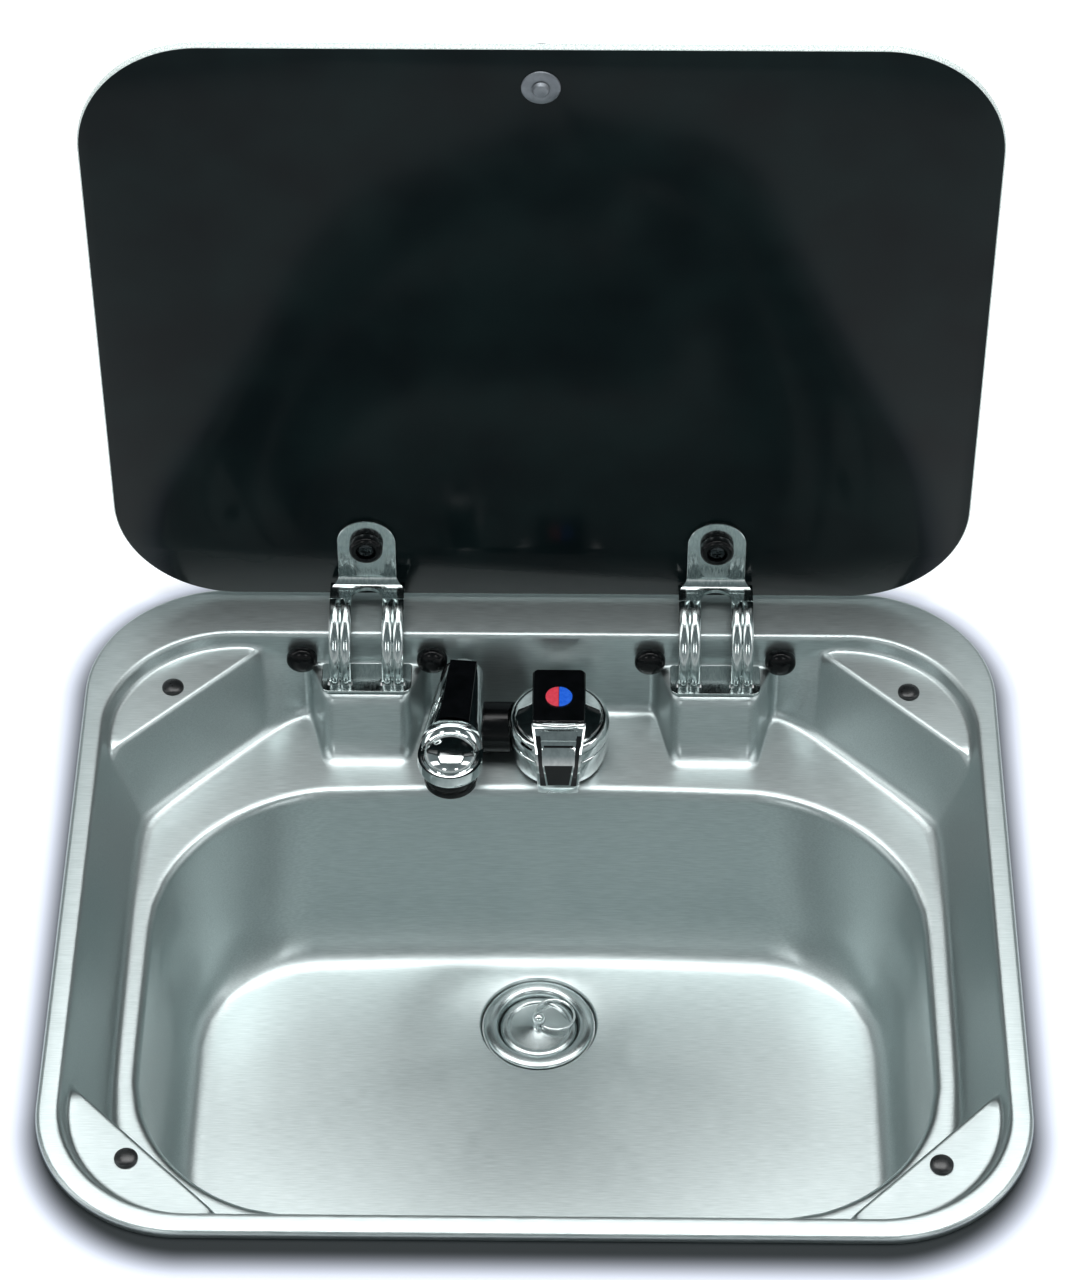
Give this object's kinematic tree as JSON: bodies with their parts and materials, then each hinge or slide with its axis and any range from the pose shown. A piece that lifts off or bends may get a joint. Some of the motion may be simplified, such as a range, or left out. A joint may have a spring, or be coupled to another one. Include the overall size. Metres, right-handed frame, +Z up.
{
  "type": "rv sink with glass lid",
  "caption": "Drop-in steel sink with rounded corners and corner ledges, a hinged dark glass lid standing open, a low mixer tap and a waste with a plug.",
  "frame": {"origin": "centre of the rim outline, in the plane of the worktop that the rim gasket rests on", "axes": "+X to the user's right, +Y to the hinged rear edge, +Z up out of the worktop"},
  "size_m": [0.42, 0.3902, 0.5036],
  "materials": {
    "pan_steel": "satin brushed stainless steel",
    "chrome": "polished chrome plate",
    "hinge_steel": "polished pressed steel",
    "plated_steel": "zinc plated steel",
    "dark_glass": "smoked toughened glass, polished edge",
    "black_plastic": "black, semi-gloss",
    "rubber": "matt black",
    "brass": "machined",
    "grey_plastic": "moulded, matt",
    "hot_red": "gloss red",
    "cold_blue": "gloss blue"
  },
  "bodies": {
    "sink": {"sink_pan": "pan_steel", "rim_gasket": "rubber", "bumper_rear_left": "rubber", "bumper_rear_right": "rubber", "bumper_front_left": "rubber", "bumper_front_right": "rubber", "hinge_bracket_left": "plated_steel", "hinge_pin_left": "plated_steel", "hinge_plate_left": "hinge_steel", "wall_cap_left_inner": "black_plastic", "bracket_screw_left_inner": "plated_steel", "wall_cap_left_outer": "black_plastic", "bracket_screw_left_outer": "plated_steel", "hinge_bracket_right": "plated_steel", "hinge_pin_right": "plated_steel", "hinge_plate_right": "hinge_steel", "wall_cap_right_inner": "black_plastic", "bracket_screw_right_inner": "plated_steel", "wall_cap_right_outer": "black_plastic", "bracket_screw_right_outer": "plated_steel", "tap_gasket": "rubber", "tap_body": "chrome", "tap_cartridge": "black_plastic", "cartridge_cover": "chrome", "tap_shank": "brass", "tap_nut": "brass", "hot_tail": "brass", "cold_tail": "brass", "tap_link": "black_plastic", "spout_base": "chrome", "drain_gasket": "rubber", "drain_flange": "chrome", "drain_body": "grey_plastic"},
    "lid": {"glass_lid": "dark_glass", "lid_knob": "chrome", "knob_plate": "plated_steel", "knob_screw": "plated_steel", "hinge_arm_left": "hinge_steel", "arm_cap_left": "rubber", "arm_screw_left": "plated_steel", "glass_cap_left": "black_plastic", "hinge_arm_right": "hinge_steel", "arm_cap_right": "rubber", "arm_screw_right": "plated_steel", "glass_cap_right": "black_plastic"},
    "lever_carrier": {"cartridge_stem": "black_plastic", "lever_pin": "plated_steel"},
    "lever": {"tap_lever": "chrome", "lever_top_inlay": "black_plastic", "lever_front_inlay": "black_plastic", "hot_mark": "hot_red", "cold_mark": "cold_blue"},
    "spout": {"spout": "chrome", "spout_inlay": "black_plastic", "spout_aerator": "black_plastic"},
    "plug": {"plug": "chrome", "plug_seal": "rubber"},
    "pull_ring": {"plug_ring": "chrome"}
  },
  "joints": [
    {"name": "lid_hinge", "type": "hinge", "parent": "sink", "child": "lid", "pos_m": [0, 0.168, -0.0125], "axis": [1, 0, 0], "range_deg": [0, 91.5]},
    {"name": "lever_turn", "type": "hinge", "parent": "sink", "child": "lever_carrier", "pos_m": [0.0086, 0.1244, -0.0145], "axis": [0, 0, 1], "range_deg": [-35, 35]},
    {"name": "lever_lift", "type": "hinge", "parent": "lever_carrier", "child": "lever", "pos_m": [0.0086, 0.1244, -0.0145], "axis": [1, 0, 0], "range_deg": [-18, 0]},
    {"name": "spout_swivel", "type": "hinge", "parent": "sink", "child": "spout", "pos_m": [-0.0365, 0.14, -0.01], "axis": [0, 0, 1], "range_deg": [-25, 15]},
    {"name": "plug_lift", "type": "slide", "parent": "sink", "child": "plug", "axis": [0, 0, 1], "range_m": [0, 0.03]},
    {"name": "ring_flip", "type": "hinge", "parent": "plug", "child": "pull_ring", "pos_m": [0, 0.032, -0.1302], "axis": [0.5878, -0.809, 0], "range_deg": [0, 95]}
  ]
}
